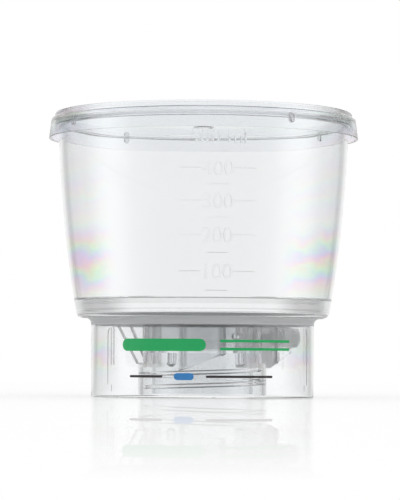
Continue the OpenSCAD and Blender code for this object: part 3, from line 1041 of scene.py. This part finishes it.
def thread_solid(steps=240):
    """A ridge that climbs inside the collar, thinning out at both ends."""
    rings = []
    for i in range(steps + 1):
        turn = THREAD_START + (THREAD_END - THREAD_START) * i / steps
        height = THREAD_FRONT + THREAD_PITCH * turn / math.tau
        ends = min(turn - THREAD_START, THREAD_END - turn) / THREAD_TAPER
        rise = math.sin(min(1.0, ends) * math.pi / 2)
        depth = THREAD_DEPTH * rise + AIR
        outline = (
            (BORE_R + THREAD_ROOT, -THREAD_FOOT / 2),
            (BORE_R, -THREAD_FOOT / 2),
            (BORE_R - depth, -THREAD_CREST / 2),
            (BORE_R - depth, THREAD_CREST / 2),
            (BORE_R, THREAD_FOOT / 2),
            (BORE_R + THREAD_ROOT, THREAD_FOOT / 2),
        )
        rings.append([on_wall(turn, radius, height + up * (0.5 + rise / 2)) for radius, up in outline])
    return swept("thread", rings)


def foot_cutter(radius, side, steps=8):
    """A ring that rounds the skirt's foot, outside it for side 1 and inside it for side -1."""
    outline = [Vector((radius + side * FOOT_R, -FOOT_R)), Vector((radius + side * FOOT_R, FOOT_R))]
    for i in range(steps + 1):
        turn = math.pi / 2 * i / steps
        across = radius - side * FOOT_R * (1 - math.cos(turn))
        outline.append(Vector((across, FOOT_R * (1 - math.sin(turn)))))
    outline.append(Vector((radius - side * FOOT_R, -FOOT_R)))
    if side < 0:
        outline.reverse()
    return turned("cutter", outline, [Vector((0, 1))] * len(outline), 2 * SPIN)


def soften_steps(mesh):
    """Shades the shallow steps round the skirt's panels almost like the wall, as worn mould edges,
    and gives them the mesh's second material."""
    normals = [corner.vector.copy() for corner in mesh.corner_normals]
    for face in mesh.polygons:
        if not all(abs(mesh.vertices[v].co.xy.length - SKIRT_R) < STEP_REACH for v in face.vertices):
            continue
        if abs(face.normal.dot(face.center.xy.to_3d().normalized())) > STEP_FACING:
            continue
        face.material_index = 1
        for loop in face.loop_indices:
            outward = mesh.vertices[mesh.loops[loop].vertex_index].co.xy.to_3d().normalized()
            normals[loop] = (outward * STEP_SOFT + normals[loop] * (1 - STEP_SOFT)).normalized()
    mesh.normals_split_custom_set(normals)


def make_base():
    cutters = [foot_cutter(SKIRT_R, 1), foot_cutter(SKIRT_R - SKIRT_WALL, -1)]
    base = joined("base_threaded", fine_mesh("base"), [thread_solid()], cutters)
    smooth_faces(base.data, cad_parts["base"].data)
    settle(base, base_plastic(), "base")
    base.data.materials.append(step_plastic())
    soften_steps(base.data)


# ---------------------------------------------------------------- lid

LID_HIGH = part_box("lid")[1][2]
GUIDES = 4
GUIDE_TURN = math.radians(28)
GUIDE_HALF = 1.1 * MM
GUIDE_LENGTH = 3.8 * MM
GUIDE_IN_R = 57.4 * MM
GUIDE_OUT_R = 58.9 * MM


def guide_solid(turn, steps=16):
    """A rib with a round lower end inside the lid's skirt."""
    outward = on_wall(turn, 1, 0)
    aside = on_wall(turn + math.pi / 2, 1, 0)
    middle = FUNNEL_HIGH - GUIDE_LENGTH + GUIDE_HALF
    outline = [(GUIDE_HALF, FUNNEL_HIGH + AIR), (-GUIDE_HALF, FUNNEL_HIGH + AIR)]
    for i in range(steps + 1):
        bend = math.pi * (1 + i / steps)
        outline.append((GUIDE_HALF * math.cos(bend), middle + GUIDE_HALF * math.sin(bend)))
    rings = []
    for radius in (GUIDE_IN_R, GUIDE_OUT_R):
        rings.append([outward * radius + aside * across + UP * up for across, up in outline])
    return swept("guide", rings)


def make_lid():
    outline = section("lid")
    for point in outline:
        if abs(point.y - LID_HIGH) < OUTLINE_REACH:
            point.y -= AIR
    shell = turned("lid", *eased(outline))
    ribs = [guide_solid(GUIDE_TURN + math.tau * i / GUIDES) for i in range(GUIDES)]
    lid = joined("lid_clear", shell.copy(), ribs)
    smooth_faces(lid.data, shell)
    settle(lid, lid_plastic(), "lid")


# ---------------------------------------------------------------- membrane

MEMBRANE_WAVE = 0.2 * MM
MEMBRANE_T = 0.2 * MM
MEMBRANE_WHITE = (0.97, 0.97, 0.965)


def make_membrane(rings=24, spokes=180):
    """A thin white disc with a slightly ragged edge."""
    points = []
    faces = []
    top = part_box("membrane")[1][2] - AIR
    for height in (top - MEMBRANE_T, top):
        points.append(Vector((0, 0, height)))
        for i in range(1, rings + 1):
            for k in range(spokes):
                turn = math.tau * k / spokes
                ragged = math.sin(turn * 23) + math.sin(turn * 37 + 1) * math.sin(turn * 5)
                radius = (MEMBRANE_R + MEMBRANE_WAVE * ragged / 2) * i / rings
                points.append(on_wall(turn, radius, height))
    side = 1 + rings * spokes
    for start, flip in ((0, True), (side, False)):
        for k in range(spokes):
            after = (k + 1) % spokes
            loops = [(start, start + 1 + k, start + 1 + after)]
            for i in range(rings - 1):
                inner = start + 1 + i * spokes
                outer = inner + spokes
                loops.append((inner + k, outer + k, outer + after, inner + after))
            for loop in loops:
                faces.append(tuple(reversed(loop)) if flip else loop)
    last = 1 + (rings - 1) * spokes
    for k in range(spokes):
        after = (k + 1) % spokes
        faces.append((last + k, last + after, side + last + after, side + last + k))
    piece = place("membrane_disc", welded(mesh_from("membrane", points, faces)))
    smooth_faces(piece.data)
    white = fibre("membrane_white", MEMBRANE_WHITE, grain=500, relief=0.1, shadow=0.93)
    settle(piece, white, "membrane")


# ---------------------------------------------------------------- print on the skirt

INK_IN = SKIRT_R - 0.135 * MM
INK_OUT = SKIRT_R - 0.1 * MM
GREEN = (0.006, 0.46, 0.13)
BLUE = (0.03, 0.24, 0.6)
GREY = (0.045, 0.035, 0.04)
# Name, ink, turns of the two ends in degrees, middle height and width in mm
PRINT = (
    ("print_bold_bar", "ink_green", GREEN, -50, -4, 19.6, 4.6),
    ("print_upper_rule", "ink_green", GREEN, 3, 44, 21.1, 1.0),
    ("print_lower_rule", "ink_green", GREEN, 3, 44, 18.1, 1.0),
    ("print_left_tick", "ink_grey", GREY, -45, -26, 7.9, 0.9),
    ("print_block", "ink_blue", BLUE, -20, -10, 7.9, 2.6),
    ("print_right_tick", "ink_grey", GREY, -4, 32, 7.9, 0.9),
)


def strip_solid(start, end, height, width, columns=48, steps=12):
    """A thin film bent round the skirt, with half-round ends."""
    rings = []
    cap = width / 2 / SKIRT_R
    turns = []
    for i in range(steps + 1):
        turns.append(start + cap * (1 - math.cos(math.pi / 2 * i / steps)))
    for i in range(1, columns):
        turns.append(start + cap + (end - start - 2 * cap) * i / columns)
    for i in range(steps + 1):
        turns.append(end - cap + cap * math.sin(math.pi / 2 * i / steps))
    for turn in turns:
        inset = max(0.0, start + cap - turn, turn - end + cap) / cap
        half = width / 2 * max(0.02, math.sqrt(max(0.0, 1 - inset * inset)))
        corners = ((INK_IN, -half), (INK_OUT, -half), (INK_OUT, half), (INK_IN, half))
        rings.append([on_wall(turn, radius, height + up) for radius, up in corners])
    return swept("strip", rings)


def make_print():
    inks = {}
    for name, ink_name, colour, start, end, height, width in PRINT:
        if ink_name not in inks:
            inks[ink_name] = ink(ink_name, colour)
        solid = strip_solid(math.radians(start), math.radians(end), height * MM, width * MM)
        piece = place(name, solid)
        smooth_faces(piece.data)
        settle(piece, inks[ink_name])


PLUG_WHITE = (0.86, 0.86, 0.84)

scene = bpy.context.scene
scene.view_settings.view_transform = "Standard"
scene.cycles.max_bounces = 32
scene.cycles.transmission_bounces = 32
scene.cycles.glossy_bounces = 16
scene.cycles.transparent_max_bounces = 32

make_camera()
make_world()
make_floor()
make_base()
make_funnel()
make_membrane()
make_lid()
make_print()
dress("port_plug", fibre("plug_fibre", PLUG_WHITE, grain=900, relief=0.5, shadow=0.82))
